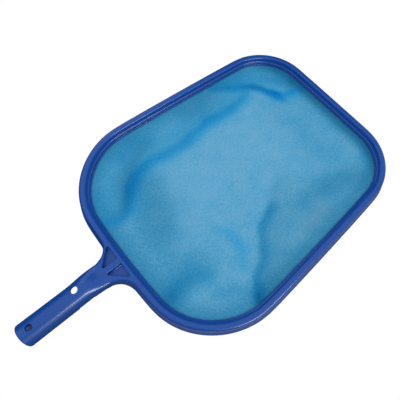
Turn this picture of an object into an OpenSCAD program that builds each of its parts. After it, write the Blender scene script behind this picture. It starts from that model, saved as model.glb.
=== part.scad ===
// Flat leaf skimmer for a pool: a moulded frame, a snap-in retaining ring and a fine net.
// Millimetres. X runs along the handle towards the far side of the head, Z is up, and the
// origin is on the floor under the middle of the whole skimmer.

/* [Head outline] */
// Length of the head, from the line of the near side to the line of the far side
head_length = 374; // [300:1:440]
// Half the width of the head at its near side, which carries the handle
near_half_width = 163.5; // [130:0.5:195]
// Half the width of the head at its far side
far_half_width = 144; // [110:1:175]
// Radius of the two near corners
near_corner_r = 92; // [60:1:100]
// Radius of the two far corners
far_corner_r = 76.5; // [50:0.5:90]
// How far the near side bows out in its middle
near_bow = 11.5; // [6:0.5:15]
// How far the far side bows out in its middle
far_bow = 0.6; // [0:0.2:8]
// How far each long side bows out in its middle
side_bow = 2.6; // [0:0.2:6]

/* [Rim section] */
// Height of the rim, from the floor to the top of its ridge
rim_height = 17.8; // [16.6:0.1:24]
// Thickness of the rim's moulded walls
rim_wall = 1.7; // [1.4:0.1:2]
// How far the foot stands out from the bottom of the outer wall
foot_width = 2.6; // [1.5:0.1:3.2]
// Height of the foot's outer edge
foot_height = 1.6; // [1:0.1:2.4]
// Height at which the foot's hollow runs into the outer wall
foot_rise = 5; // [4:0.5:7]
// Distance from the outer edge of the rim to the outer edge of its ridge
ridge_inset = 4.5; // [4:0.1:6]
// Width of the ridge, across its flat top and both rounded edges
ridge_width = 8; // [7:0.1:9.5]
// Rounding of the ridge's outer edge
ridge_outer_r = 4; // [2.5:0.1:4.2]
// Rounding of the ridge's inner edge
ridge_inner_r = 1.6; // [0.8:0.1:2]
// Height of the shelf inside the ridge
shelf_height = 10.6; // [10:0.1:12]
// Distance from the outer edge of the rim to the wall that the retaining ring sits in
seat_inset = 14.9; // [14.9:0.1:17]
// How far the shelf reaches over the retaining ring, as its snap
snap_reach = 0.8; // [0.4:0.1:1]
// Width of the ledge that carries the edge of the net
ledge_width = 3.8; // [3:0.1:5]
// Height of the top of the ledge
ledge_height = 5; // [4:0.1:5.4]
// Thickness of the ledge
ledge_thickness = 1.6; // [1.2:0.1:2]

/* [Retaining ring] */
// Width of the retaining ring
ring_width = 2.5; // [2:0.1:2.8]
// Rounding of the ring's inner top edge
ring_edge_r = 1.1; // [0.6:0.1:1.4]
// Clearance between the ring and the frame
ring_clearance = 0.2; // [0.1:0.05:0.4]

/* [Net] */
// Thickness of the net
net_thickness = 0.4; // [0.3:0.05:0.6]
// Clearance over and under the clamped edge of the net
net_clearance = 0.1; // [0.05:0.05:0.2]
// Clearance between the floor and the lowest part of the net
net_floor_gap = 0.6; // [0.4:0.1:1.5]
// How far the net's folds stand up from its lowest part
fold_height = 7; // [0:0.5:8]

/* [Handle] */
// Outer diameter of the handle, which slides into a telescopic pole
handle_d = 28; // [26:0.5:30]
// Diameter of the bore that holds the pole's spring clip
clip_bore_d = 23; // [21:0.5:24]
// Depth of the bore, from the mouth of the handle
clip_bore_depth = 53; // [45:1:56]
// Distance from the line of the near side to the mouth of the handle
handle_reach = 124; // [120:0.5:150]
// Rounding of the handle's end, inside and out
mouth_edge_r = 1.2; // [0.5:0.1:1.2]
// Diameter of the holes for the spring clip's buttons
button_hole_d = 7.6; // [6:0.1:9]
// Distance from the mouth of the handle to the button holes
button_setback = 13; // [10:0.5:18]
// Distance from the button holes to the hole in the neck, along the handle
hole_spacing = 54.1; // [53:0.1:60]
// Diameter of the hole in the neck
neck_hole_d = 8.2; // [6:0.1:9]
// Distance of the hole in the neck from the middle line of the handle
neck_hole_shift = 2.8; // [0:0.1:4]

/* [Neck] */
// Distance from the line of the near side to the end of the round handle
round_end = 49; // [42:1:50]
// Distance from the line of the near side to the place where the top is level with the ridge
flat_start = 25; // [22:1:28]
// Distance from the line of the near side to the place where the wings start to spread
wing_start = 29; // [24:1:34]
// How far each of the gusset's wings spreads along the rim, past the side of the handle
wing_spread = 26.5; // [20:0.5:40]
// Drop from the top of the ridge to the top of the gusset
gusset_drop = 0.1; // [0.1:0.1:1]
// Height of the side walls' lower edge where the neck is open underneath
channel_edge = 13.5; // [7:0.5:14]
// Thickness of the web that closes the bore from the open channel of the neck
web_thickness = 3.5; // [2:0.5:5]
// Thickness of the walls of the neck and the gusset
neck_wall = 2.5; // [2:0.1:3]

/* [Pockets] */
// Width of the rib between the gusset's two pockets
pocket_rib = 7.6; // [6:0.2:12]
// Distance of the rib from the middle line of the handle
rib_shift = 1.6; // [0:0.1:2.4]
// Length of a pocket along the rim
pocket_width = 21.4; // [12:0.2:22]
// Length of a pocket along the handle
pocket_length = 20.8; // [12:0.2:22]
// Width of the plain strip between a pocket and the inner edge of the ridge
pocket_strip = 4.6; // [3.5:0.1:6]
// Depth of a pocket
pocket_depth = 6; // [3:0.5:6]
// Rounding of a pocket's corners
pocket_corner_r = 1.5; // [0.5:0.1:2]

/* [Hidden] */
eps = 0.01;

moulded_blue = [0.21, 0.35, 0.63];
net_blue = [0.31, 0.6, 0.76];

// Number of steps along each stretch of half the outline
near_steps = 4;
near_corner_steps = 15;
side_steps = 11;
far_corner_steps = 13;
far_steps = 4;

handle_r = handle_d / 2;
clip_bore_r = clip_bore_d / 2;
far_edge = head_length + far_bow;
// The middle of the whole skimmer, from the line of the near side
middle = (far_edge - handle_reach) / 2;

// ---- Head outline -------------------------------------------------------------------------
// The straight-sided outline is a trapezoid with round corners, and each side is then bowed out.

// Direction of the long side, in degrees from the X axis
side_lean = atan2(far_half_width - near_half_width, head_length);
side_along = [cos(side_lean), sin(side_lean)];
near_turn = 90 - side_lean;
far_turn = 90 + side_lean;
near_cut = near_corner_r * tan(near_turn / 2);
far_cut = far_corner_r * tan(far_turn / 2);
near_corner = [near_corner_r, near_half_width - near_cut];
far_corner = [head_length - far_corner_r, far_half_width - far_cut];
side_from = [0, near_half_width] + near_cut * side_along;
side_to = [head_length, far_half_width] - far_cut * side_along;

function on_circle(centre, r, angle) = centre + r * [cos(angle), sin(angle)];
function between(a, b, t) = a + (b - a) * t;

half_trapezoid = concat(
    [for (i = [0 : near_steps - 1]) [0, near_corner.y * i / near_steps]],
    [for (i = [0 : near_corner_steps])
        on_circle(near_corner, near_corner_r, 180 - near_turn * i / near_corner_steps)],
    [for (i = [1 : side_steps - 1]) between(side_from, side_to, i / side_steps)],
    [for (i = [0 : far_corner_steps])
        on_circle(far_corner, far_corner_r, far_turn * (1 - i / far_corner_steps))],
    [for (i = [1 : far_steps]) [head_length, far_corner.y * (1 - i / far_steps)]]
);

function bowed(p) =
    let (
        t = p.x / head_length,
        near_push = near_bow * (1 - t) * (1 - pow(p.y / near_half_width, 2)),
        far_push = far_bow * t * (1 - pow(p.y / far_half_width, 2)),
        spread = 2 * side_bow / (near_half_width + far_half_width) * (1 - pow(2 * t - 1, 2))
    )
    [p.x - near_push + far_push, p.y * (1 + spread)];

half_outline = [for (p = half_trapezoid) bowed(p)];
half_count = len(half_outline) - 1;
outline = concat(
    half_outline,
    [for (i = [half_count - 1 : -1 : 1]) [half_outline[i].x, -half_outline[i].y]]
);
outline_count = len(outline);

function unit(v) = v / norm(v);

// Unit directions into the head, square to the outline at each of its points
inward = [for (i = [0 : outline_count - 1])
    let (
        before = unit(outline[i] - outline[(i + outline_count - 1) % outline_count]),
        after = unit(outline[(i + 1) % outline_count] - outline[i]),
        along = unit(before + after)
    )
    [along.y, -along.x]];

// The outline's point i, moved into the head by a distance
function inset_point(i, inset) = outline[i] + inset * inward[i];

// ---- Sections with round corners ------------------------------------------------------------
// A section is a closed list of rows [inset, height, corner radius, steps round the corner].

function corner_arc(before, at, after, r, steps) =
    let (
        u = unit(before - at),
        v = unit(after - at),
        half = acos(u * v) / 2,
        cut = r / tan(half),
        centre = at + unit(u + v) * r / sin(half),
        from = at + u * cut - centre,
        to = at + v * cut - centre,
        start = atan2(from.y, from.x),
        raw = atan2(to.y, to.x) - start,
        sweep = raw > 180 ? raw - 360 : raw < -180 ? raw + 360 : raw
    )
    [for (i = [0 : steps]) on_circle(centre, r, start + sweep * i / steps)];

function rounded(rows) =
    let (n = len(rows))
    [for (i = [0 : n - 1])
        let (
            row = rows[i],
            at = [row[0], row[1]],
            before = [rows[(i + n - 1) % n][0], rows[(i + n - 1) % n][1]],
            after = [rows[(i + 1) % n][0], rows[(i + 1) % n][1]]
        )
        each (row[3] == 0 ? [at] : corner_arc(before, at, after, row[2], row[3]))];

foot_hollow_r = 4;
shelf_hollow_r = 2.6;
shelf_slope = 0.5;
ridge_inner = ridge_inset + ridge_width;
shelf_edge = seat_inset + snap_reach;
snap_height = shelf_height - 1.4;
channel_top = rim_height - rim_wall;

// Section of the rim: the foot, the outer wall, the ridge, the shelf, the seat of the retaining
// ring, the ledge, and the open channel underneath
rim_section = rounded([
    [0, 0, 0, 0],
    [0, foot_height, 0.5, 1],
    [foot_width * 0.3, foot_height, 0, 0],
    [foot_width, foot_rise, foot_hollow_r, 2],
    [ridge_inset, rim_height, ridge_outer_r, 3],
    [ridge_inner, rim_height, ridge_inner_r, 2],
    [ridge_inner + 1.1, shelf_height + shelf_slope, shelf_hollow_r, 2],
    [shelf_edge, shelf_height, 0.6, 2],
    [shelf_edge, snap_height, 0, 0],
    [seat_inset, snap_height, 0, 0],
    [seat_inset, ledge_height, 0, 0],
    [seat_inset + ledge_width, ledge_height, 0, 0],
    [seat_inset + ledge_width, ledge_height - ledge_thickness, 0, 0],
    [seat_inset, ledge_height - ledge_thickness, 0, 0],
    [seat_inset, 0, 0, 0],
    [seat_inset - rim_wall, 0, 0, 0],
    [seat_inset - rim_wall, shelf_height - rim_wall, 0.8, 1],
    [ridge_inner + 0.5 - rim_wall, shelf_height + shelf_slope - rim_wall, 0.8, 1],
    [ridge_inner - rim_wall, channel_top, 0, 0],
    [ridge_inset + rim_wall, channel_top, max(0.2, ridge_outer_r - rim_wall), 1],
    [foot_width + rim_wall, foot_rise, foot_hollow_r, 1],
    [foot_width + rim_wall * 0.5, 0, 0, 0],
]);

net_bottom = ledge_height + net_clearance;
ring_bottom = net_bottom + net_thickness + net_clearance;
ring_top = snap_height - ring_clearance;
ring_outer = seat_inset + ring_clearance;

// Section of the retaining ring, with its rounded lip over the net
ring_section = rounded([
    [ring_outer, ring_bottom, 0, 0],
    [ring_outer, ring_top, 0.4, 1],
    [ring_outer + ring_width, ring_top, ring_edge_r, 3],
    [ring_outer + ring_width, ring_bottom, 0, 0],
]);

// A section swept once round the outline
module sweep_round(section) {
    width = len(section);
    points = [for (i = [0 : outline_count - 1], s = section)
        let (p = inset_point(i, s.x))
        [p.x, p.y, s.y]];
    faces = [for (i = [0 : outline_count - 1], j = [0 : width - 1])
        let (
            a = i * width + j,
            b = i * width + (j + 1) % width,
            c = (i + 1) % outline_count * width + (j + 1) % width,
            d = (i + 1) % outline_count * width + j
        )
        each [[a, c, b], [a, d, c]]];
    polyhedron(points, faces);
}

// ---- Handle ---------------------------------------------------------------------------------

mouth = -handle_reach;
button_at = mouth + button_setback;
neck_hole_at = button_at + hole_spacing;
bore_end = mouth + clip_bore_depth;
channel_start = bore_end + web_thickness;
channel_round_end = -round_end + 2;

// A cylinder along X, on the axis of the handle
module along_handle(from, to, r) {
    translate([from, 0, handle_r]) rotate([0, 90, 0]) cylinder(h = to - from, r = r, $fn = 72);
}

// The round handle, with its bore and rounded mouth
module round_handle() {
    end_wall = handle_r - clip_bore_r;
    edge = min(mouth_edge_r, end_wall / 2 - eps);
    translate([mouth, 0, handle_r]) rotate([0, 90, 0]) rotate_extrude($fn = 72) {
        translate([clip_bore_r, edge]) square([end_wall, round_length() - edge]);
        translate([clip_bore_r + edge, 0]) square([end_wall - 2 * edge, edge + eps]);
        for (x = [clip_bore_r + edge, handle_r - edge])
            translate([x, edge]) circle(r = edge, $fn = 16);
    }
    along_handle(bore_end, -round_end, clip_bore_r + eps);
}

function round_length() = handle_reach - round_end;

// ---- Neck and gusset ------------------------------------------------------------------------

gusset_top = rim_height - gusset_drop;
pocket_edge = -near_bow + ridge_inner - pocket_strip;
// Where the wings' floor line runs into the outer edge of the rim, just inside it
wing_end = 0.1 - near_bow * (1 - pow((handle_r + wing_spread) / near_half_width, 2));
wing_length = wing_start + wing_end;
neck_steps = 8;
wing_steps = 12;
// The neck starts inside the round handle, just under its skin
neck_root = -round_end - 4;
neck_inset = 0.12;

function smooth(t) = t * t * (3 - 2 * t);
function share(t) = max(0, min(1, t));

// Half the neck's width at the floor, for a place along X
function floor_half_width(x) =
    let (t = share((x + wing_start) / wing_length))
    handle_r - neck_inset + wing_spread * (1 - sqrt(max(0, 1 - t * t)));

// How flat the neck is at a place along X, from 0 where it is round to 1 on the gusset
function flatness(x) = smooth(share((x + round_end) / (round_end - flat_start)));

// How much the neck's side leans in at a place along X, from 0 where it is upright to 1 where it
// follows the outer wall of the rim
function lean(x) = share((x - wing_end + 11) / 13);

// Rows [inset, height] of the rim's outer wall, from the floor to the flat top of the ridge
outer_wall_count = 11;
outer_wall = [for (i = [0 : outer_wall_count - 1]) rim_section[i]];
middle_row = 6;

// Points of one half of the flat section at a place along X, from the middle of its underside to
// the middle of its top, as [y, z]
function flat_half(x) =
    let (
        drop = gusset_top / rim_height,
        side = [for (row = outer_wall) [floor_half_width(x - lean(x) * row.x), row.y * drop]],
        foot = side[0].x,
        top = side[outer_wall_count - 1].x - ridge_outer_r * (1 - lean(x))
    )
    concat(
        [[0, 0], [foot * 0.35, 0], [foot * 0.7, 0]],
        [for (i = [0 : middle_row]) side[i]],
        [between(side[middle_row], side[middle_row + 1], 0.5)],
        [for (i = [middle_row + 1 : outer_wall_count - 1])
            side[i] - [edge_turn(i) * (1 - lean(x)), 0]],
        [[top * 0.75, gusset_top], [top * 0.5, gusset_top], [top * 0.25, gusset_top],
            [0, gusset_top]]
    );

// How far a point of the ridge's rounded outer edge lies in from the outer wall's top
function edge_turn(i) = max(0, outer_wall[i].x - outer_wall[middle_row + 1].x);

// Angles of the same points on the round section
flat_angles = [-90, -84, -78, -72, -66, -60, -54, -47, -40, -32, -16, 0, 9, 18, 28, 43, 58, 74, 90];

function neck_section(x) =
    let (
        flat = flat_half(x),
        n = len(flat),
        half = [for (i = [0 : n - 1])
            between(on_circle([0, handle_r], handle_r - neck_inset, flat_angles[i]), flat[i],
                flatness(x))]
    )
    concat(
        [for (p = half) [x, p.x, p.y]],
        [for (i = [n - 2 : -1 : 1]) [x, -half[i].x, half[i].y]]
    );

neck_places = concat(
    [neck_root],
    [for (i = [0 : neck_steps - 1]) between(-round_end, -wing_start, i / neck_steps)],
    [for (i = [0 : wing_steps]) -wing_start + wing_length * sin(90 * i / wing_steps)],
    [for (i = [1 : 4]) wing_end + ridge_inset * i / 4],
    [pocket_edge + neck_wall]
);

// The solid skin of the neck, from the round handle to the ridge of the rim
module neck_skin() {
    rings = [for (x = neck_places) neck_section(x)];
    count = len(rings);
    width = len(rings[0]);
    ends = [for (x = [neck_places[0], neck_places[count - 1]]) [x, 0, rim_height / 2]];
    points = concat([for (ring = rings) each ring], ends);
    sides = [for (i = [0 : count - 2], j = [0 : width - 1])
        let (
            a = i * width + j,
            b = i * width + (j + 1) % width,
            c = (i + 1) * width + (j + 1) % width,
            d = (i + 1) * width + j
        )
        each [[a, d, c], [a, c, b]]];
    last = (count - 1) * width;
    caps = [for (j = [0 : width - 1])
        each [[j, (j + 1) % width, count * width],
            [last + (j + 1) % width, last + j, count * width + 1]]];
    polyhedron(points, concat(sides, caps));
}

hollow_top = gusset_top - pocket_depth - neck_wall;
hollow_shift = ridge_inset + neck_wall;

// The open hollow under one wing of the gusset, beside the middle rib
module wing_hollow() {
    outer = [for (i = [0 : wing_steps])
        let (x = -flat_start + (flat_start + wing_end) * i / wing_steps)
        [x, floor_half_width(x - hollow_shift) - neck_wall]];
    last = outer[wing_steps];
    translate([0, 0, -eps]) linear_extrude(hollow_top)
        polygon(concat([[-flat_start, neck_wall / 2]], outer, [[last.x, neck_wall / 2]]));
}

// The open channel under the neck, between the web and the gusset
module neck_channel() {
    along_handle(channel_start, channel_round_end, clip_bore_r);
    translate([channel_start, -handle_d, -handle_d])
        cube([channel_round_end - channel_start, 2 * handle_d, handle_d + channel_edge]);
    hull() {
        translate([channel_round_end - eps, 0, handle_r]) rotate([0, 90, 0])
            cylinder(h = eps, r = clip_bore_r - eps, $fn = 32);
        translate([-flat_start, -handle_r / 2, -1]) cube([2, handle_r, hollow_top]);
    }
}

// One triangular pocket in the top of the gusset
module pocket() {
    near = pocket_rib / 2;
    at_rim = pocket_edge;
    translate([0, 0, gusset_top - pocket_depth]) linear_extrude(pocket_depth + 1)
        offset(r = pocket_corner_r, $fn = 24) offset(delta = -pocket_corner_r)
            polygon([[at_rim, near], [at_rim, near + pocket_width], [at_rim - pocket_length, near]]);
}

// A round hole from a height up through the top of the handle
module upright_hole(at, d, from) {
    translate([at.x, at.y, from]) cylinder(h = handle_d + 1 - from, d = d, $fn = 48);
}

module pair_across() {
    children();
    mirror([0, 1, 0]) children();
}

// ---- Net ------------------------------------------------------------------------------------
// Folds of the slack net, as rows [share of the fold height, half width, points along the crest].
// The points are from the middle of the head's near line, for a head of the planned length and
// half width.
planned_length = 374;
planned_half_width = 163.5;
folds = [
    [0.9, 12, [[52, 66], [70, 85], [105, 93], [150, 85], [203, 93], [245, 88], [285, 91]]],
    [1, 11, [[250, 126], [283, 110], [303, 91], [315, 66], [321, 46]]],
    [0.65, 11, [[318, 66], [337, 55], [356, 42]]],
    [0.5, 11, [[8, 60], [26, 50], [48, 46]]],
    [0.45, 22, [[62, 62], [62, 30], [50, -5], [46, -45]]],
    [0.6, 12, [[18, -78], [38, -66], [64, -70]]],
    [0.65, 11, [[113, -40], [119, -62], [114, -85], [98, -102]]],
    [0.75, 12, [[97, -130], [112, -116], [135, -104], [147, -84], [163, -73], [192, -63]]],
    [0.3, 18, [[240, -88], [275, -92], [300, -108]]],
    [0.4, 18, [[75, 108], [130, 118], [230, 118]]],
];
net_inset = ring_outer + 0.2;
net_free_inset = seat_inset + ledge_width + 1;
net_rings = 10;
net_stride = 2;
net_count = outline_count / net_stride;
net_centre = [head_length / 2, 0];

function planned(p) =
    [p.x * head_length / planned_length, p.y * near_half_width / planned_half_width];

function distance_to_line(p, a, b) =
    let (t = share((p - a) * (b - a) / ((b - a) * (b - a)))) norm(p - between(a, b, t));

// Height of one fold at a place, as a share of the fold height
function fold_at(p, fold) =
    let (
        crest = [for (q = fold[2]) planned(q)],
        away = min([for (i = [1 : len(crest) - 1]) distance_to_line(p, crest[i - 1], crest[i])])
    )
    fold[0] * exp(-pow(away / fold[1], 2));

function sum(list, i = 0) = i < len(list) ? list[i] + sum(list, i + 1) : 0;

// Height of the net's underside at a place, where edge is 1 at the ledge and 0 in the middle
function net_height(p, edge) =
    let (
        hold = pow(edge, 5),
        rise = min(1, sum([for (fold = folds) fold_at(p, fold)])),
        slack = net_floor_gap + fold_height * rise
    )
    between(min(slack, ring_top - 1), net_bottom, hold);

// One ring of the net's points: ring 0 is the clamped edge, and ring 1 is just off the ledge
function net_ring(k, lift) = [for (i = [0 : net_count - 1])
    let (
        edge = k == 0 ? 1 : 1 - (k - 1) / net_rings,
        rim_point = inset_point(i * net_stride, k == 0 ? net_inset : net_free_inset),
        p = between(net_centre, rim_point, edge)
    )
    [p.x, p.y, net_height(p, edge) + lift]];

module net_sheet() {
    side = [for (k = [0 : net_rings]) each net_ring(k, 0)];
    centre_low = [net_centre.x, net_centre.y, net_height(net_centre, 0)];
    top = [for (p = concat(side, [centre_low])) p + [0, 0, net_thickness]];
    n = net_count;
    lift = n * (net_rings + 1) + 1;
    bands = [for (k = [0 : net_rings - 1], i = [0 : n - 1])
        let (a = k * n + i, b = k * n + (i + 1) % n, c = a + n, d = b + n)
        each [[a, d, b], [a, c, d]]];
    fan = [for (i = [0 : n - 1]) [net_rings * n + i, lift - 1, net_rings * n + (i + 1) % n]];
    under = concat(bands, fan);
    over = [for (f = under) [f[0] + lift, f[2] + lift, f[1] + lift]];
    rim = [for (i = [0 : n - 1])
        let (a = i, b = (i + 1) % n)
        each [[a, b, b + lift], [a, b + lift, a + lift]]];
    polyhedron(concat(side, [centre_low], top), concat(under, over, rim));
}

// ---- The three pieces -----------------------------------------------------------------------

// The one-piece moulding: rim, gusset, neck and handle
module frame() {
    color(moulded_blue) translate([-middle, 0, 0]) difference() {
        union() {
            sweep_round(rim_section);
            difference() {
                neck_skin();
                pair_across() wing_hollow();
            }
            round_handle();
        }
        neck_channel();
        upright_hole([button_at, 0], button_hole_d, -1);
        upright_hole([neck_hole_at, neck_hole_shift], neck_hole_d, handle_r);
        translate([0, rib_shift, 0]) pair_across() pocket();
    }
}

// The ring that snaps in under the shelf and clamps the net's edge
module retaining_ring() {
    color(moulded_blue) translate([-middle, 0, 0]) sweep_round(ring_section);
}

// The slack net, with its edge flat between the ledge and the ring
module net() {
    color(net_blue) translate([-middle, 0, 0]) net_sheet();
}

frame();
retaining_ring();
net();
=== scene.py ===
# A flat leaf skimmer for a pool: a moulded blue frame with a short pole spigot, a snap-in ring
# and a slack sheet of fine net. The pieces' sizes are in millimetres, and times mm they are in
# metres, as those of the camera, the floor and the lamps are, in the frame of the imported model.
import bpy
import bmesh
from math import acos, asin, atan2, cos, exp, hypot, pi, radians, sin, sqrt, tan
from mathutils import Matrix, Vector, kdtree, noise


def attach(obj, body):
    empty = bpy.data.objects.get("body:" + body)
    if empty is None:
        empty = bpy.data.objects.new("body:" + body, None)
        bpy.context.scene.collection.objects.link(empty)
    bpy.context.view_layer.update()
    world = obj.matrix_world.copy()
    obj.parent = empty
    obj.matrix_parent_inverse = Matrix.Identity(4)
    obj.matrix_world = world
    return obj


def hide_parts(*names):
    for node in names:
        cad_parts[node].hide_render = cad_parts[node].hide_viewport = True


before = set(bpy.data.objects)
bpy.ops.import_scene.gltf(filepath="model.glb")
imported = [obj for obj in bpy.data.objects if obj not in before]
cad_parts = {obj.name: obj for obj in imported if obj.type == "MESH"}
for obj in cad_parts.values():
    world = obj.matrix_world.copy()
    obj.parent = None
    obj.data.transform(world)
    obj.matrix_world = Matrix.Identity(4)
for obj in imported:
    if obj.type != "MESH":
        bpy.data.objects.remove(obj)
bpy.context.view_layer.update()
mm = 0.001

# ---- Camera -------------------------------------------------------------------------------------
# The skimmer lies flat on the floor and is seen from above the near end of its head, with the
# handle towards the lower left.
camera_data = bpy.data.cameras.new("camera")
camera = bpy.data.objects.new("camera", camera_data)
bpy.context.collection.objects.link(camera)
camera_right = Vector((0.74461, -0.66362, 0.07184)).normalized()
camera_look = Vector((0.28470, 0.21839, -0.93341)).normalized()
camera_up = camera_right.cross(camera_look).normalized()
camera_right = camera_look.cross(camera_up)
camera.matrix_world = Matrix((camera_right, camera_up, -camera_look)).transposed().to_4x4()
camera.location = (-0.08783, -0.12688, 0.39798)
camera_data.sensor_width = 36
camera_data.lens = 28.72
camera_data.shift_x = -0.1043
camera_data.shift_y = 0.0082
camera_data.clip_start = 0.01
bpy.context.scene.camera = camera

# ---- Floor and light ----------------------------------------------------------------------------
# A plain white floor and surround, wide soft lamps overhead, on both sides and past the far end,
# and a long strip lamp that shines only as the streak along the handle.
bpy.context.scene.view_settings.view_transform = "Standard"
white = (1, 1, 1, 1)
floor_grey = (0.03, 0.03, 0.03, 1)
floor_half_side = 4
floor_drop = 0.0002
floor_white = 0.975
sheen_from_y, sheen_to_y, sheen_strength = -0.12, 0.0, 0.45
surround_light, surround_mirrored = 0.29, 0.03


def shader_tree(block):
    """An empty node tree, and a function that adds a node to it, with the sources that feed its
    sockets and with values by socket name, where _ stands for a space."""
    block.use_nodes = True
    tree = block.node_tree
    tree.nodes.clear()

    def add(kind, links=(), **sockets):
        node = tree.nodes.new(kind)
        for name, value in sockets.items():
            name = name.replace("_", " ")
            target = node.inputs[int(name)] if name.isdigit() else node.inputs[name]
            target.default_value = value
        for socket, source in dict(links).items():
            tree.links.new(source, node.inputs[socket])
        return node
    return tree, add


floor_bm = bmesh.new()
bmesh.ops.create_grid(floor_bm, x_segments=1, y_segments=1, size=floor_half_side)
bmesh.ops.translate(floor_bm, verts=floor_bm.verts, vec=(0, 0, -floor_drop))
floor_mesh = bpy.data.meshes.new("floor")
floor_bm.to_mesh(floor_mesh)
floor = bpy.data.objects.new("floor", floor_mesh)
bpy.context.collection.objects.link(floor)
# The floor is white to the camera alone, and only its -Y side glows in reflections: a painted
# reflection in the plastic
floor_paint = bpy.data.materials.new("white_floor")
tree, add = shader_tree(floor_paint)
matt = add("ShaderNodeBsdfDiffuse", Color=floor_grey)
seen = add("ShaderNodeLightPath")
here = add("ShaderNodeTexCoord")
floor_place = add("ShaderNodeSeparateXYZ", {"Vector": here.outputs["Object"]})
# Painted reflection: the floor's -Y side glows for reflected rays alone
sheen = add("ShaderNodeMapRange", {"Value": floor_place.outputs["Y"]}, From_Min=sheen_from_y,
            From_Max=sheen_to_y, To_Min=sheen_strength, To_Max=0.0)
mirrored = add("ShaderNodeMath", {0: seen.outputs["Is Glossy Ray"], 1: sheen.outputs[0]})
mirrored.operation = "MULTIPLY"
strength = add("ShaderNodeMath", {0: seen.outputs["Is Camera Ray"], 2: mirrored.outputs[0]})
strength.operation = "MULTIPLY_ADD"
strength.inputs[1].default_value = floor_white
glow = add("ShaderNodeEmission", {"Strength": strength.outputs[0]}, Color=white)
both = add("ShaderNodeAddShader", {0: matt.outputs[0], 1: glow.outputs[0]})
add("ShaderNodeOutputMaterial", {"Surface": both.outputs[0]})
floor_mesh.materials.append(floor_paint)

# The surround is white to the camera, a soft light on the pieces, and dim in the plastic
surround = bpy.data.worlds.new("surround")
bpy.context.scene.world = surround
tree, add = shader_tree(surround)
seen = add("ShaderNodeLightPath")
soft_white = add("ShaderNodeBackground", Color=white, Strength=surround_light)
mirrored = add("ShaderNodeBackground", Color=white, Strength=surround_mirrored)
plain_white = add("ShaderNodeBackground", Color=white, Strength=1.0)
lit = add("ShaderNodeMixShader", {0: seen.outputs["Is Glossy Ray"],
                                  1: soft_white.outputs[0], 2: mirrored.outputs[0]})
shown = add("ShaderNodeMixShader", {0: seen.outputs["Is Camera Ray"],
                                    1: lit.outputs[0], 2: plain_white.outputs[0]})
add("ShaderNodeOutputWorld", {"Surface": shown.outputs[0]})

# Each lamp: its name, its place, the lengths of its two sides, and its power in watts
for lamp_name, place, sides, power in (
        ("overhead_lamp", (-0.10, 0.12, 0.85), (1.5, 2.1), 7.8),
        ("left_lamp", (0.32, 1.45, 0.85), (0.9, 1.1), 2.9),
        ("side_lamp", (0.10, -1.25, 0.85), (2.4, 1.3), 9.0),
        ("far_lamp", (1.40, -0.25, 0.60), (1.1, 0.8), 2.2),
        ("strip_lamp", (-0.10, -1.35, 0.80), (1.0, 0.12), 17.0)):
    lamp_data = bpy.data.lights.new(lamp_name, "AREA")
    lamp_data.shape = "RECTANGLE"
    lamp_data.size, lamp_data.size_y = sides
    lamp_data.energy = power
    lamp = bpy.data.objects.new(lamp_name, lamp_data)
    lamp.visible_diffuse = lamp_name != "strip_lamp"
    lamp.location = place
    lamp.rotation_euler = (-Vector(place)).to_track_quat("-Z", "Y").to_euler()
    bpy.context.collection.objects.link(lamp)

# ---- Moulded frame: the rim ---------------------------------------------------------------------
# The rim is a thin-walled section that runs once round the head: a foot, a hollow outer wall, a
# flat ridge, and inside it a shelf over the seat of the retaining ring. It is injection moulded
# in one with the gusset and the handle, in glossy blue polypropylene.
head_length = 374.0
near_half = 163.5
far_half = 144.0
near_corner_r = 92.0
far_corner_r = 76.5
near_bow = 11.5
far_bow = 0.6
side_bow = 2.6
ease_passes = 6
handle_reach = 124.0
# Places along X are counted from the near side of the head; middle is where the part's X is 0
middle = (head_length + far_bow - handle_reach) / 2


def head_outline(near_steps, corner_steps, side_steps):
    """The head's outline in millimetres, from the middle of its near side, and the directions
    square to it, into the head."""
    lean = atan2(far_half - near_half, head_length)
    near_turn, far_turn = pi / 2 - lean, pi / 2 + lean
    near_cut = near_corner_r * tan(near_turn / 2)
    far_cut = far_corner_r * tan(far_turn / 2)
    along = Vector((cos(lean), sin(lean)))
    near_centre = Vector((near_corner_r, near_half - near_cut))
    far_centre = Vector((head_length - far_corner_r, far_half - far_cut))
    side_from = Vector((0, near_half)) + near_cut * along
    side_to = Vector((head_length, far_half)) - far_cut * along
    half = [Vector((0, near_centre.y * i / near_steps)) for i in range(near_steps)]
    half += [near_centre + near_corner_r * Vector((cos(pi - near_turn * i / corner_steps),
                                                   sin(pi - near_turn * i / corner_steps)))
             for i in range(corner_steps + 1)]
    half += [side_from.lerp(side_to, i / side_steps) for i in range(1, side_steps)]
    half += [far_centre + far_corner_r * Vector((cos(far_turn * (1 - i / corner_steps)),
                                                 sin(far_turn * (1 - i / corner_steps))))
             for i in range(corner_steps + 1)]
    half += [Vector((head_length, far_centre.y * (1 - i / near_steps)))
             for i in range(1, near_steps + 1)]
    bowed = []
    for p in half:
        t = p.x / head_length
        x = (p.x - near_bow * (1 - t) * (1 - (p.y / near_half) ** 2)
             + far_bow * t * (1 - (p.y / far_half) ** 2))
        spread = 2 * side_bow / (near_half + far_half) * (1 - (2 * t - 1) ** 2)
        bowed.append(Vector((x, p.y * (1 + spread))))
    line = bowed + [Vector((p.x, -p.y)) for p in bowed[-2:0:-1]]
    count = len(line)
    # The corners' arcs are eased into the straights
    for _ in range(ease_passes):
        line = [(line[i - 1] + 2 * line[i] + line[(i + 1) % count]) / 4 for i in range(count)]
    inward = []
    for i in range(count):
        along = (line[(i + 1) % count] - line[i - 1]).normalized()
        inward.append(Vector((along.y, -along.x)))
    return line, inward


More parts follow.
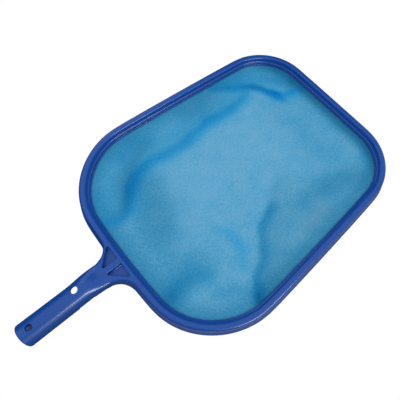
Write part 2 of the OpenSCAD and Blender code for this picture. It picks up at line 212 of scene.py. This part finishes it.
def corner_arc(before, at, after, r, steps):
    """The arc of radius r that rounds the corner at a point, between its two neighbours."""
    u, v = (before - at).normalized(), (after - at).normalized()
    half = acos(max(-1, min(1, u.dot(v)))) / 2
    cut = r / tan(half)
    centre = at + (u + v).normalized() * r / sin(half)
    first, last = at + u * cut - centre, at + v * cut - centre
    start = atan2(first.y, first.x)
    sweep = (atan2(last.y, last.x) - start + pi) % (2 * pi) - pi
    return [centre + r * Vector((cos(start + sweep * i / steps), sin(start + sweep * i / steps)))
            for i in range(steps + 1)]


def rounded(rows):
    """Rows [inset, height, corner radius, steps] as a list of points."""
    points = []
    for i, (inset, height, r, steps) in enumerate(rows):
        at = Vector((inset, height))
        before, after = Vector(rows[i - 1][:2]), Vector(rows[(i + 1) % len(rows)][:2])
        points += corner_arc(before, at, after, r, steps) if steps else [at]
    return points


rim_height = 17.8
rim_wall = 1.7
foot_width, foot_lip, foot_rise = 2.6, 1.6, 5.0
foot_r = 4.0
ridge_inset, ridge_width = 4.5, 8.0
ridge_outer_r, ridge_inner_r = 4.0, 2.8
slope_width, slope_r = 1.1, 2.6
shelf_height, shelf_fall = 10.6, 0.5
seat_inset = 14.9
shelf_edge = seat_inset + 0.4
snap_height = shelf_height - 1.4
ledge_height, ledge_thick, ledge_width = 6.8, 1.6, 3.8
edge_r = 0.3
ridge_inner = ridge_inset + ridge_width
channel_top = rim_height - rim_wall
outer_wall = rounded([
    (foot_width + rim_wall / 2, 0, 0, 0),
    (0, 0, edge_r, 3),
    (0, foot_lip, 0.5, 4),
    (foot_width * 0.3, foot_lip, 0, 0),
    (foot_width, foot_rise, foot_r, 7),
    (ridge_inset, rim_height, ridge_outer_r, 9),
    (ridge_inner, rim_height, 0, 0),
])[1:-1]
rim_section = outer_wall + rounded([
    (ridge_inset, rim_height, 0, 0),
    (ridge_inner, rim_height, ridge_inner_r, 7),
    (ridge_inner + slope_width, shelf_height + shelf_fall, slope_r, 7),
    (shelf_edge, shelf_height, 0.6, 5),
    (shelf_edge, snap_height, 0.15, 2),
    (seat_inset, snap_height, 0, 0),
    (seat_inset, ledge_height, 0, 0),
    (seat_inset + ledge_width, ledge_height, 0.2, 2),
    (seat_inset + ledge_width, ledge_height - ledge_thick, 0.2, 2),
    (seat_inset, ledge_height - ledge_thick, 0, 0),
    (seat_inset, 0, edge_r, 2),
    (seat_inset - rim_wall, 0, edge_r, 2),
    (seat_inset - rim_wall, shelf_height - rim_wall, 0.8, 3),
    (ridge_inner + 0.5 - rim_wall, shelf_height + shelf_fall - rim_wall, 0.8, 3),
    (ridge_inner - rim_wall, channel_top, 0.5, 2),
    (ridge_inset + rim_wall, channel_top, ridge_outer_r - rim_wall, 4),
    (foot_width + rim_wall, foot_rise, foot_r, 4),
    (foot_width + rim_wall / 2, 0, 0.2, 2),
])[1:]

rim_line, rim_inward = head_outline(near_steps=24, corner_steps=30, side_steps=26)


def loft(bm, rings, caps=False):
    """Extrudes the first ring of points from ring to ring, each a closed loop of as many points."""
    verts = [bm.verts.new(p) for p in rings[0]]
    edges = [bm.edges.new((verts[i - 1], verts[i])) for i in range(len(verts))]
    if caps:
        bmesh.ops.edgeloop_fill(bm, edges=edges)
    for ring in rings[1:]:
        made = bmesh.ops.extrude_edge_only(bm, edges=edges)["geom"]
        fresh = {v for v in made if isinstance(v, bmesh.types.BMVert)}
        verts = [next(e.other_vert(v) for e in v.link_edges if e.other_vert(v) in fresh)
                 for v in verts]
        for v, p in zip(verts, ring):
            v.co = p
        edges = [bm.edges.get((verts[i - 1], verts[i])) for i in range(len(verts))]
    if caps:
        bmesh.ops.edgeloop_fill(bm, edges=edges)
    return edges


same_place = 1e-6
moulded_sharp = 35


def sweep_round(bm, section, line, inward):
    """Sweeps a section once round the head, into the bmesh."""
    rings = [[((p.x + s.x * n.x - middle) * mm, (p.y + s.x * n.y) * mm, s.y * mm) for s in section]
             for p, n in zip(line, inward)]
    loft(bm, rings + rings[:1])
    bmesh.ops.remove_doubles(bm, verts=bm.verts, dist=same_place)
    bmesh.ops.recalc_face_normals(bm, faces=bm.faces)


def finished_object(name, bm, sharp_degrees):
    """An object with the bmesh's shape, shaded smooth apart from its sharp edges."""
    mesh = bpy.data.meshes.new(name)
    bm.to_mesh(mesh)
    bm.free()
    mesh.shade_smooth()
    mesh.set_sharp_from_angle(angle=radians(sharp_degrees))
    made = bpy.data.objects.new(name, mesh)
    bpy.context.collection.objects.link(made)
    return made


rim_bm = bmesh.new()
sweep_round(rim_bm, rim_section, rim_line, rim_inward)
rim = finished_object("rim", rim_bm, moulded_sharp)

# ---- Moulded frame: the neck and handle ---------------------------------------------------------
# The round handle turns into a flat gusset with two wings that run into the rim. Two triangular
# pockets thin the gusset, the bore takes the pole's spring clip, and the neck is open underneath.
handle_r = 14.0
bore_r = 11.5
mouth = -handle_reach
round_end, flat_start, wing_start = 49.0, 25.0, 29.0
fall_start, fall_end = 51.0, 21.0
full_start, full_rise, full_fall, full_share = 66.0, 30.0, 18.0, 0.16
wing_spread = 26.5
lean_before, lean_over = 11, 13
gusset_top = rim_height - 0.02
wing_end = 0.1 - near_bow * (1 - ((handle_r + wing_spread) / near_half) ** 2)
wing_length = wing_start + wing_end
pocket_margin = 4.6
pocket_edge = -near_bow + ridge_inner - pocket_margin
neck_wall = 2.5
under_points, tall_points, turn_points, over_points = 7, 5, 10, 9


def share(t):
    """A value held between 0 and 1."""
    return max(0.0, min(1.0, t))


def smooth(t):
    """An even rise from 0 to 1 that starts and ends level."""
    return t * t * (3 - 2 * t)


def floor_half_width(x):
    """Half the gusset's width on the floor, with its wing."""
    t = share((x + wing_start) / wing_length)
    return handle_r - 0.1 + wing_spread * (1 - sqrt(max(0, 1 - t * t)))


def neck_ring(x, r):
    """One ring of the neck's skin: round with radius r where flat is 0, and flat on the gusset.
    The gusset's sides have the rim's outer wall, whose last points turn into the ridge."""
    flat = smooth(share((x + fall_start) / (fall_start - fall_end)))
    lean = share((x - wing_end + lean_before) / lean_over)
    side = [Vector((floor_half_width(x - lean * s.x), s.y * gusset_top / rim_height))
            for s in outer_wall]
    turn_from = outer_wall[-turn_points].x
    for i in range(len(side) - turn_points, len(side)):
        side[i].x -= (outer_wall[i].x - turn_from) * (1 - lean)
    foot, top = side[0].x, side[-1].x
    under = [Vector((foot * i / under_points, 0)) for i in range(under_points)]
    over = [Vector((top * (1 - i / over_points), gusset_top)) for i in range(1, over_points + 1)]
    tall = [side[-turn_points - 1].lerp(side[-turn_points], i / tall_points)
            for i in range(1, tall_points)]
    flat_half = under + side[:-turn_points] + tall + side[-turn_points:] + over
    wall_points = len(side) - turn_points + len(tall)
    # The places on the round handle that these points come from, in degrees from its side
    angles = ([-90 + 20 * i / len(under) for i in range(len(under))]
              + [-70 + 75 * i / wall_points for i in range(wall_points)]
              + [5 + 40 * i / turn_points for i in range(turn_points)]
              + [45 + 45 * i / len(over) for i in range(1, len(over) + 1)])
    half = []
    for a, p in zip(angles, flat_half):
        on_round = Vector((r * cos(radians(a)), handle_r + r * sin(radians(a))))
        half.append(on_round.lerp(p, flat))
    # The +Y side is a little fuller where the round turns flat
    fuller = (1 + full_share * smooth(share((x + full_start) / full_rise))
              * smooth(share((wing_end - 2 - x) / full_fall)))
    whole = [Vector((p.x * fuller, p.y)) for p in half]
    whole += [Vector((-p.x, p.y)) for p in half[-2:0:-1]]
    return [((x - middle) * mm, p.x * mm, p.y * mm) for p in whole]


end_r = 1.2
round_rings, fall_rings, wing_rings, blend_rings = 10, 18, 30, 12
neck_rings = []
for turn in (0, 15, 30, 45, 60, 75, 90):
    neck_rings.append(neck_ring(mouth + end_r * (1 - cos(radians(turn))),
                                handle_r - end_r * (1 - sin(radians(turn)))))
places_along = [mouth + end_r + (-fall_start - mouth - end_r) * i / round_rings
                for i in range(1, round_rings + 1)]
places_along += [-fall_start + (fall_start - wing_start) * i / fall_rings
                 for i in range(1, fall_rings + 1)]
places_along += [-wing_start + wing_length * sin(radians(90 * i / wing_rings))
                 for i in range(1, wing_rings + 1)]
places_along += [wing_end + ridge_inset * i / blend_rings for i in range(1, blend_rings + 1)]
places_along += [pocket_edge + neck_wall]
neck_rings += [neck_ring(x, handle_r) for x in places_along]
neck_bm = bmesh.new()
loft(neck_bm, neck_rings, caps=True)
bmesh.ops.recalc_face_normals(neck_bm, faces=neck_bm.faces)
neck = finished_object("neck", neck_bm, moulded_sharp)


def join_or_cut(target, tool, operation):
    """Joins the tool to the target or cuts it out, and removes the tool."""
    change = target.modifiers.new("change", "BOOLEAN")
    change.operation = operation
    change.solver = "EXACT"
    change.object = tool
    depsgraph = bpy.context.evaluated_depsgraph_get()
    result = bpy.data.meshes.new_from_object(target.evaluated_get(depsgraph))
    target.modifiers.clear()
    target.data = result
    bpy.data.objects.remove(tool)


def cut_away(target, bm):
    """Cuts a closed shape out of the target, in place."""
    tool_mesh = bpy.data.meshes.new("cut")
    bmesh.ops.recalc_face_normals(bm, faces=bm.faces)
    bm.to_mesh(tool_mesh)
    bm.free()
    tool = bpy.data.objects.new("cut", tool_mesh)
    bpy.context.collection.objects.link(tool)
    join_or_cut(target, tool, "DIFFERENCE")


def spun_cutter(profile, segments=96):
    """A closed shape turned round the axis of the handle, from rows (place along X, radius)."""
    bm = bmesh.new()
    verts = [bm.verts.new(((x - middle) * mm, 0, (handle_r + r) * mm)) for x, r in profile]
    edges = [bm.edges.new(pair) for pair in zip(verts, verts[1:])]
    bmesh.ops.spin(bm, geom=verts + edges, cent=(0, 0, handle_r * mm), axis=(1, 0, 0),
                   angle=2 * pi, steps=segments, use_merge=True)
    bmesh.ops.remove_doubles(bm, verts=bm.verts, dist=same_place)
    return bm


bore_depth, web, channel_edge = 53.0, 3.5, 13.5
bore_end = mouth + bore_depth
channel_start = bore_end + web
channel_end = -round_end + 2
lip = 1.15
bore_profile = [(mouth - 2, 0), (mouth - 2, bore_r + lip)]
bore_profile += [(mouth + lip * sin(radians(a)), bore_r + lip * (1 - sin(radians(a))))
                 for a in (0, 20, 40, 60, 75, 90)]
bore_profile += [(bore_end, bore_r), (bore_end, 0)]
cut_away(neck, spun_cutter(bore_profile))
channel_steps, channel_side, channel_low = 60, 20, -16
channel_turn = asin((channel_edge - handle_r) / bore_r)
channel_section = []
for i in range(channel_steps + 1):
    turn = channel_turn + (pi - 2 * channel_turn) * i / channel_steps
    channel_section.append((bore_r * cos(turn), handle_r + bore_r * sin(turn)))
channel_section += [(-channel_side, channel_edge), (-channel_side, channel_low),
                    (channel_side, channel_low), (channel_side, channel_edge)]
channel = bmesh.new()
loft(channel, [[((x - middle) * mm, y * mm, z * mm) for y, z in channel_section]
               for x in (channel_start, channel_end)], caps=True)
cut_away(neck, channel)
pocket_depth = 6.0
hollow_top = gusset_top - pocket_depth - neck_wall
hollow_low = -1
# The throat goes from the channel's round end to a square one inside the gusset
throat = bmesh.new()
throat_steps = 64
throat_r = bore_r - 0.05
throat_start, throat_end = channel_end - 0.5, 2 - flat_start
throat_round, throat_flat = [], []
for i in range(throat_steps):
    y, z = cos(2 * pi * i / throat_steps), sin(2 * pi * i / throat_steps)
    square = max(abs(y), abs(z))
    throat_round.append(((throat_start - middle) * mm, throat_r * y * mm,
                         (handle_r + throat_r * z) * mm))
    throat_flat.append(((throat_end - middle) * mm, handle_r / 2 * y / square * mm,
                        ((hollow_top + hollow_low) / 2
                         + (hollow_top - hollow_low) / 2 * z / square) * mm))
loft(throat, [throat_round, throat_flat], caps=True)
cut_away(neck, throat)

# The gusset is hollow under each wing, with a wall left on the middle line
wing_steps = 24
for side in (1, -1):
    hollow = bmesh.new()
    corners = [(-flat_start, neck_wall / 2)]
    for i in range(wing_steps + 1):
        x = -flat_start + (flat_start + wing_end) * i / wing_steps
        corners.append((x, floor_half_width(x - ridge_inset - neck_wall) - neck_wall))
    corners.append((wing_end, neck_wall / 2))
    face = hollow.faces.new([hollow.verts.new(((x - middle) * mm, side * y * mm, hollow_low * mm))
                             for x, y in corners])
    up = bmesh.ops.extrude_face_region(hollow, geom=[face])["geom"]
    bmesh.ops.translate(hollow, verts=[v for v in up if isinstance(v, bmesh.types.BMVert)],
                        vec=(0, 0, (hollow_top - hollow_low) * mm))
    cut_away(neck, hollow)

# Each hole: its place along and across, its radius, and how far down it goes. The clip's buttons
# come out through both walls, and the neck's hole goes through the top wall only.
button_hole_x = mouth + 13.0
neck_hole_x = button_hole_x + 54.1
hole_top = 32
for x, y, hole_r, low in ((button_hole_x, 0, 3.8, -2), (neck_hole_x, 2.8, 4.1, handle_r)):
    hole = bmesh.new()
    bmesh.ops.create_cone(hole, cap_ends=True, segments=64, radius1=hole_r * mm,
                          radius2=hole_r * mm, depth=(hole_top - low) * mm)
    bmesh.ops.translate(hole, verts=hole.verts,
                        vec=((x - middle) * mm, y * mm, (hole_top + low) / 2 * mm))
    cut_away(neck, hole)

join_or_cut(rim, neck, "UNION")
moulding = rim
moulding.name = "frame_moulding"
pocket_rib, rib_shift, pocket_width, pocket_length = 7.6, 1.6, 21.4, 20.8
pocket_corner_r, pocket_mouth_r = 1.6, 0.8
pocket_floor = gusset_top - pocket_depth


def rounded_triangle(side, grow):
    """The outline of one pocket, grown by a distance on all sides."""
    near = pocket_rib / 2
    corners = [Vector((pocket_edge, near)), Vector((pocket_edge, near + pocket_width)),
               Vector((pocket_edge - pocket_length, near))]
    points = []
    for i in range(3):
        points += corner_arc(corners[i - 1], corners[i], corners[(i + 1) % 3], pocket_corner_r, 8)
    moved = []
    for i, p in enumerate(points):
        along = (points[(i + 1) % len(points)] - points[i - 1]).normalized()
        moved.append(p + grow * Vector((along.y, -along.x)))
    return [(p.x, rib_shift + p.y * side) for p in moved]


for side in (1, -1):
    pocket = bmesh.new()
    # Each level: its height, and how far the pocket's outline is grown there
    levels = [(pocket_floor, -0.9), (pocket_floor + 0.35, -0.4), (pocket_floor + 0.9, -0.2)]
    levels += [(gusset_top - pocket_mouth_r + pocket_mouth_r * sin(radians(a)),
                pocket_mouth_r * (1 - cos(radians(a)))) for a in (0, 15, 30, 45, 60, 75)]
    levels += [(gusset_top + 2, 1.1)]
    stack = []
    for height, grow in levels:
        stack.append([((x - middle) * mm, y * mm, height * mm)
                      for x, y in rounded_triangle(side, grow)])
    loft(pocket, stack, caps=True)
    cut_away(moulding, pocket)

# The cuts leave a few slivers and hair-fine gaps, which are merged away and closed
sliver = 2e-6
cut_sharp = 32
moulding_bm = bmesh.new()
moulding_bm.from_mesh(moulding.data)
bmesh.ops.remove_doubles(moulding_bm, verts=moulding_bm.verts, dist=sliver)
bmesh.ops.dissolve_degenerate(moulding_bm, edges=moulding_bm.edges, dist=sliver)
bmesh.ops.holes_fill(moulding_bm, edges=[e for e in moulding_bm.edges if e.is_boundary], sides=8)
moulding_bm.to_mesh(moulding.data)
moulding_bm.free()
moulding.data.shade_smooth()
moulding.data.set_sharp_from_angle(angle=radians(cut_sharp))
even = moulding.modifiers.new("even_normals", "WEIGHTED_NORMAL")
even.keep_sharp = True
even.weight = 60


royal_blue = (0.0045, 0.067, 0.355)
blue_gleam = (0.85, 0.92, 1, 1)
plastic_rough, rough_change = 0.25, 0.02
tone_change = 0.10


def glossy_plastic(name, colour, rough):
    """Moulded polypropylene: a saturated gloss with faint flow marks, and a fine waviness."""
    paint = bpy.data.materials.new(name)
    tree, add = shader_tree(paint)
    at = add("ShaderNodeTexCoord")
    cloud = add("ShaderNodeTexNoise", {"Vector": at.outputs["Object"]}, Scale=22.0, Detail=3.0)
    dark = tuple(c * (1 - tone_change) for c in colour) + (1,)
    light = tuple(min(1, c * (1 + tone_change)) for c in colour) + (1,)
    tint = add("ShaderNodeMix")
    tint.data_type = "RGBA"
    tree.links.new(cloud.outputs["Fac"], tint.inputs[0])
    tint.inputs[6].default_value, tint.inputs[7].default_value = dark, light
    fine = add("ShaderNodeTexNoise", {"Vector": at.outputs["Object"]}, Scale=70.0, Detail=2.0)
    spread = add("ShaderNodeMapRange", {"Value": fine.outputs["Fac"]},
                 To_Min=rough - rough_change, To_Max=rough + rough_change)
    wave = add("ShaderNodeTexNoise", {"Vector": at.outputs["Object"]}, Scale=90.0, Detail=0.0)
    bump = add("ShaderNodeBump", {"Height": wave.outputs["Fac"]}, Strength=0.004, Distance=0.001)
    skin = add("ShaderNodeBsdfPrincipled", {"Base Color": tint.outputs[2],
                                            "Roughness": spread.outputs[0],
                                            "Normal": bump.outputs[0]}, IOR=1.49)
    skin.inputs["Specular Tint"].default_value = blue_gleam
    add("ShaderNodeOutputMaterial", {"Surface": skin.outputs[0]})
    return paint


moulding.data.materials.clear()
moulding.data.materials.append(glossy_plastic("frame_blue", royal_blue, plastic_rough))
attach(moulding, "root")
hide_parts("frame")

# ---- Retaining ring -----------------------------------------------------------------------------
# A thin ring of the same blue plastic that snaps in under the shelf and clamps the net's edge.
ring_outer = seat_inset + 0.2
ring_width = 1.4
ring_bottom = ledge_height + 0.6
ring_top = snap_height - 0.2
ring_section = rounded([
    (ring_outer, ring_bottom, 0.1, 2),
    (ring_outer, ring_top, 0.4, 3),
    (ring_outer + ring_width, ring_top, 0.8, 7),
    (ring_outer + ring_width, ring_bottom, 0.2, 2),
])
ring_bm = bmesh.new()
sweep_round(ring_bm, ring_section, rim_line, rim_inward)
ring = finished_object("clamp_ring", ring_bm, moulded_sharp)
ring.data.materials.append(glossy_plastic("ring_blue", royal_blue, plastic_rough))
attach(ring, "root")
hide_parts("retaining_ring")

# ---- Net ----------------------------------------------------------------------------------------
# One sheet of fine woven nylon, cut a little too large for the head, so that it lies slack in
# soft folds. Its edge is clamped flat between the frame's ledge and the ring.
net_thickness = 0.4
net_level = ledge_height + 0.1
net_rows = 76
net_line, net_inward = head_outline(near_steps=40, corner_steps=46, side_steps=46)
net_edge = [p + (ring_outer + 0.2) * n for p, n in zip(net_line, net_inward)]
net_free = [p + (seat_inset + 4.4) * n for p, n in zip(net_line, net_inward)]
net_middle = Vector((head_length / 2, 0))
lowest, flat_height, fold_height, ripple_height = 0.5, 0.6, 5, 0.35
fold_wander, wander_size, ripple_size = 2, 14, 12
# rim_reach, far_reach, far_from and far_over place the painted shadow of the rim on the net, which
# is painted a deeper blue and darker near the rim, and most of all at the far end
rim_reach, far_reach, far_from, far_over = 14, 8, 320, 25
bunch_all, rim_shadow_deepening, far_shadow_deepening, fully_bunched = 0.11, 0.20, 0.24, 1.5
shade_all, painted_rim_shadow, painted_far_shadow = 0.08, 0.18, 0.40
net_sharp = 60
# Each fold: how far it rises, its half widths on the left and the right of its crest, how closely
# it bunches the threads, how much painted shade it lays on the net (painted light where it is below
# 0), and points along the crest with its strength
folds = [
    (0.00, 60, 60, -0.07, -0.03, [(135, 20, 1), (250, 20, 1)]),
    (0.50, 7, 10, 0.52, -0.04, [(40, 56, 0.6), (48, 62, 0.9), (56, 69, 1.2), (63, 78, 1.3),
                               (72, 85, 1.1), (84, 89, 0.9), (100, 92, 0.75), (125, 87, 0.6),
                               (150, 85, 0.65), (178, 88, 0.8), (203, 93, 1.05), (225, 89, 0.85),
                               (245, 88, 0.8), (262, 89, 0.7), (282, 94, 0.4)]),
    (0.12, 42, 9, 0.24, 0.04, [(40, 56, 1), (63, 78, 1), (84, 89, 1), (100, 92, 1), (125, 87, 1),
                               (150, 85, 1), (203, 93, 1), (245, 88, 1), (282, 94, 1)]),
    (0.05, 14, 5, 0.00, 0.18, [(34, 48, 0.8), (48, 66, 1), (60, 86, 1), (80, 100, 1),
                               (105, 112, 0.9), (125, 112, 0.3)]),
    (0.10, 18, 16, 0.18, 0.07, [(80, 122, 1), (112, 122, 1)]),
    (0.08, 18, 16, 0.05, 0.17, [(190, 118, 0.8), (215, 118, 1), (235, 116, 0.6)]),
    (0.40, 6, 6, 0.56, 0.01, [(244, 131, 0.35), (258, 121, 0.55), (268, 115, 0.6),
                              (283, 108, 0.7), (297, 99, 0.9), (306, 85, 1.1), (312, 73, 1.5),
                              (316, 62, 1.6), (319, 51, 0.7)]),
    (0.10, 22, 6, 0.23, 0.00, [(250, 128, 0.8), (283, 110, 1), (300, 97, 1), (312, 75, 1),
                               (318, 58, 0.8)]),
    (0.00, 4, 4, 0.05, 0.19, [(284, 104, 0.4), (295, 98, 1), (305, 87, 1), (311, 76, 0.5)]),
    (0.40, 5, 7, 0.58, -0.10, [(317, 65, 0.9), (328, 57, 0.8), (340, 51, 0.9), (352, 48, 0.8)]),
    (0.10, 12, 12, 0.27, 0.17, [(322, 100, 0.6), (338, 84, 0.8), (348, 65, 1)]),
    (0.40, 5, 6, 0.29, -0.11, [(4, 57, 0.9), (14, 52, 1), (24, 49, 1.1), (34, 48, 0.8),
                               (46, 48, 0.5)]),
    (0.15, 26, 26, 0.12, 0.12, [(66, 62, 0.8), (52, 30, 1), (45, 0, 1), (40, -30, 0.7)]),
    (0.05, 22, 30, 0.11, 0.14, [(80, 70, 1), (78, 30, 1), (62, 5, 0.8)]),
    (0.30, 9, 14, 0.27, 0.12, [(12, -70, 1), (30, -67, 1.1), (46, -69, 0.9), (64, -75, 0.7)]),
    (0.06, 18, 18, 0.21, 0.14, [(20, -62, 0.8), (50, -56, 1), (70, -62, 0.7)]),
    (0.35, 8, 8, 0.28, -0.04, [(111, -42, 0.7), (117, -54, 1), (119, -68, 1), (115, -82, 0.8),
                               (105, -98, 0.5)]),
    (0.15, 10, 10, 0.13, 0.07, [(62, -104, 0.8), (78, -112, 1), (88, -126, 1)]),
    (0.28, 6, 8, 0.33, 0.03, [(92, -138, 2.2), (99, -130, 1.6), (108, -119, 1), (122, -112, 1),
                              (134, -106, 0.9), (143, -94, 0.8), (148, -84, 0.8),
                              (160, -75, 0.9), (175, -69, 1.1), (188, -64, 0.7)]),
    (0.10, 5, 45, 0.06, 0.18, [(92, -136, 1), (108, -119, 1), (128, -108, 1), (143, -92, 1),
                               (156, -76, 1), (180, -66, 1), (200, -52, 0.6)]),
    (0.15, 16, 22, 0.17, 0.20, [(232, -86, 0.7), (262, -90, 1), (285, -98, 0.9),
                                (310, -108, 0.9)]),
    (0.05, 12, 12, -0.05, 0.15, [(205, -118, 0.8), (222, -112, 1), (240, -120, 0.8)]),
    (0.05, 26, 26, 0.12, 0.05, [(306, 35, 0.8), (306, 0, 1), (304, -50, 1), (290, -80, 0.6)]),
]


def fold_state(p):
    """Rise, bunching and painted shade of the net at a place, with the folds' lines made to wander.
    """
    x, y = p.x / wander_size, p.y / wander_size
    p = p + fold_wander * Vector((noise.noise(Vector((x, y, 1.7))),
                                  noise.noise(Vector((x, y, 8.1)))))
    rise = bunch = shade = 0.0
    # dark is the fold's painted shade on the net; below 0 it is painted light
    for height, left, right, tight, dark, crest in folds:
        nearest, strength, side = 1e9, 0.0, 0.0
        for (x0, y0, s0), (x1, y1, s1) in zip(crest, crest[1:]):
            ux, uy, dx, dy = x1 - x0, y1 - y0, p.x - x0, p.y - y0
            t = share((dx * ux + dy * uy) / (ux * ux + uy * uy))
            ax, ay = dx - t * ux, dy - t * uy
            away = hypot(ax, ay)
            if away < nearest:
                nearest, strength = away, s0 + (s1 - s0) * t
                side = (ux * ay - uy * ax) / (hypot(ux, uy) * max(away, 1e-6))
        wide = (left + right) / 2 + (left - right) / 2 * sin(side * pi / 2)
        part = strength * exp(-(nearest / wide) ** 2)
        rise += height * part
        bunch += tight * part
        shade += dark * part
    return min(1.0, rise), bunch, shade


def net_point(p, edge, away):
    """Height of the net at a place, with its bunching and painted shade; edge is 1 at the ledge and
    0 in the middle, and away is the distance from the ledge. Near the rim, and most of all at the
    far end, the net is painted darker and a deeper blue, as painted shadow of the rim."""
    rise, bunch, shade = fold_state(p)
    hold = edge ** 6
    ripple = noise.noise(Vector((p.x / ripple_size, p.y / ripple_size, 3.3)))
    ripple = ripple_height * ripple * (0.3 + rise)
    slack = max(lowest, flat_height + fold_height * rise + ripple)
    # Painted shadow of the rim: the net is painted a deeper blue and darker near it, most at the
    # far end
    rim_shadow_part = exp(-(away / rim_reach) ** 2)
    far_shadow_part = exp(-(away / far_reach) ** 2) * share((p.x - far_from) / far_over)
    bunch += bunch_all + rim_shadow_deepening * rim_shadow_part + far_shadow_deepening * far_shadow_part
    shade += shade_all + painted_rim_shadow * rim_shadow_part + painted_far_shadow * far_shadow_part
    height = slack * (1 - hold) + net_level * hold
    return height, bunch / fully_bunched, 1 - exp(-max(0.0, shade))


net_bm = bmesh.new()
net_loops = [[((p.x - middle) * mm, p.y * mm, net_level * mm) for p in net_edge]]
threads = []
for k in range(net_rows):
    edge = 1 - k / net_rows
    ring_points = []
    for p, n in zip(net_free, net_inward):
        place = net_middle.lerp(p, edge)
        height, bunch, shade = net_point(place, edge, (place - p).dot(n))
        point = ((place.x - middle) * mm, place.y * mm, height * mm)
        threads.append((point, bunch, shade))
        ring_points.append(point)
    net_loops.append(ring_points)
inmost = loft(net_bm, net_loops)
centre = bmesh.ops.extrude_edge_only(net_bm, edges=inmost)["geom"]
middle_height = net_point(net_middle, edge=0, away=99)[0]
bmesh.ops.pointmerge(net_bm, verts=[v for v in centre if isinstance(v, bmesh.types.BMVert)],
                     merge_co=((net_middle.x - middle) * mm, 0, middle_height * mm))
if sum(f.normal.z for f in net_bm.faces) < 0:
    bmesh.ops.reverse_faces(net_bm, faces=net_bm.faces)
# Each vertex takes the bunching and painted shade of the place that it was made for
bunching = net_bm.verts.layers.float.new("bunching")
painted_shading = net_bm.verts.layers.float.new("painted_shading")
places = kdtree.KDTree(len(threads))
for i, (point, _, _) in enumerate(threads):
    places.insert(point, i)
places.balance()
for v in net_bm.verts:
    _, v[bunching], v[painted_shading] = threads[places.find(v.co)[1]]
cut_plan = net_bm.loops.layers.uv.new("cut_plan")
plan_per_metre = 10
for face in net_bm.faces:
    for corner in face.loops:
        place = corner.vert.co
        corner[cut_plan].uv = place.x * plan_per_metre, place.y * plan_per_metre
net = finished_object("net_sheet", net_bm, net_sharp)
thick = net.modifiers.new("thickness", "SOLIDIFY")
thick.thickness = net_thickness * mm
thick.offset = 1

uneven_weave, weave_specks = 0.11, 0.07
thread_blues = ((0.0, (0.15, 0.440, 0.688)), (1.0, (0.0021, 0.192, 0.582)),
                (0.167, (0.0727, 0.383, 0.669)), (0.333, (0.0358, 0.334, 0.650)),
                (0.5, (0.0175, 0.291, 0.632)), (0.667, (0.0086, 0.252, 0.615)))
net_cloth = bpy.data.materials.new("net_cloth")
tree, add = shader_tree(net_cloth)
plan = add("ShaderNodeUVMap")
plan.uv_map = "cut_plan"
bunched = add("ShaderNodeAttribute")
bunched.attribute_name = "bunching"
# The painted shade is read from the net's vertices
shaded = add("ShaderNodeAttribute")
shaded.attribute_name = "painted_shading"
slant = add("ShaderNodeMapping", {"Vector": plan.outputs[0]}, Rotation=(0, 0, radians(40)),
            Scale=(1, 0.45, 1))
grain = add("ShaderNodeTexNoise", {"Vector": slant.outputs[0]}, Scale=62.0, Detail=1.0)
cloud = add("ShaderNodeTexNoise", {"Vector": plan.outputs[0]}, Scale=4.0, Detail=4.0)
uneven = add("ShaderNodeMath", {0: grain.outputs["Fac"], 1: cloud.outputs["Fac"]})
uneven.operation = "ADD"
spread = add("ShaderNodeMapRange", {"Value": uneven.outputs[0]}, From_Min=0.6, From_Max=1.4,
             To_Min=-uneven_weave, To_Max=uneven_weave)
density = add("ShaderNodeMath", {0: bunched.outputs["Fac"], 1: spread.outputs[0]})
density.operation = "ADD"
blues = add("ShaderNodeValToRGB", {"Fac": density.outputs[0]})
ramp = blues.color_ramp
# The ramp starts with its two end stops, 0 and -1
for bunched_by, colour in thread_blues:
    is_end = bunched_by in (0.0, 1.0)
    stop = ramp.elements[-int(bunched_by)] if is_end else ramp.elements.new(bunched_by)
    stop.position = bunched_by
    stop.color = colour + (1,)
speck = add("ShaderNodeMapRange", {"Value": grain.outputs["Fac"]}, From_Min=0.25, From_Max=0.75,
            To_Min=-weave_specks, To_Max=weave_specks)
# The painted shade, with the weave's specks, mixes the blue towards black
darker = add("ShaderNodeMath", {0: shaded.outputs["Fac"], 1: speck.outputs[0]})
darker.operation = "ADD"
darker.use_clamp = True
dimmed = add("ShaderNodeMix")
dimmed.data_type = "RGBA"
dimmed.inputs[7].default_value = (0, 0, 0, 1)
tree.links.new(blues.outputs["Color"], dimmed.inputs[6])
tree.links.new(darker.outputs[0], dimmed.inputs[0])
weft, warp = [add("ShaderNodeTexWave", {"Vector": plan.outputs[0]}, Scale=35.0, Distortion=0.6,
                  Detail=1.0) for _ in range(2)]
warp.bands_direction = "Y"
threads_over = add("ShaderNodeMath", {0: weft.outputs["Fac"], 1: warp.outputs["Fac"]})
threads_over.operation = "MAXIMUM"
woven = add("ShaderNodeBump", {"Height": threads_over.outputs[0]}, Strength=0.35,
            Distance=0.0003)
cloth = add("ShaderNodeBsdfPrincipled", {"Base Color": dimmed.outputs[2],
                                         "Normal": woven.outputs[0]},
            Roughness=0.7)
cloth.inputs["Specular IOR Level"].default_value = 0.05
add("ShaderNodeOutputMaterial", {"Surface": cloth.outputs[0]})
net.data.materials.append(net_cloth)
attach(net, "root")
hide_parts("net")
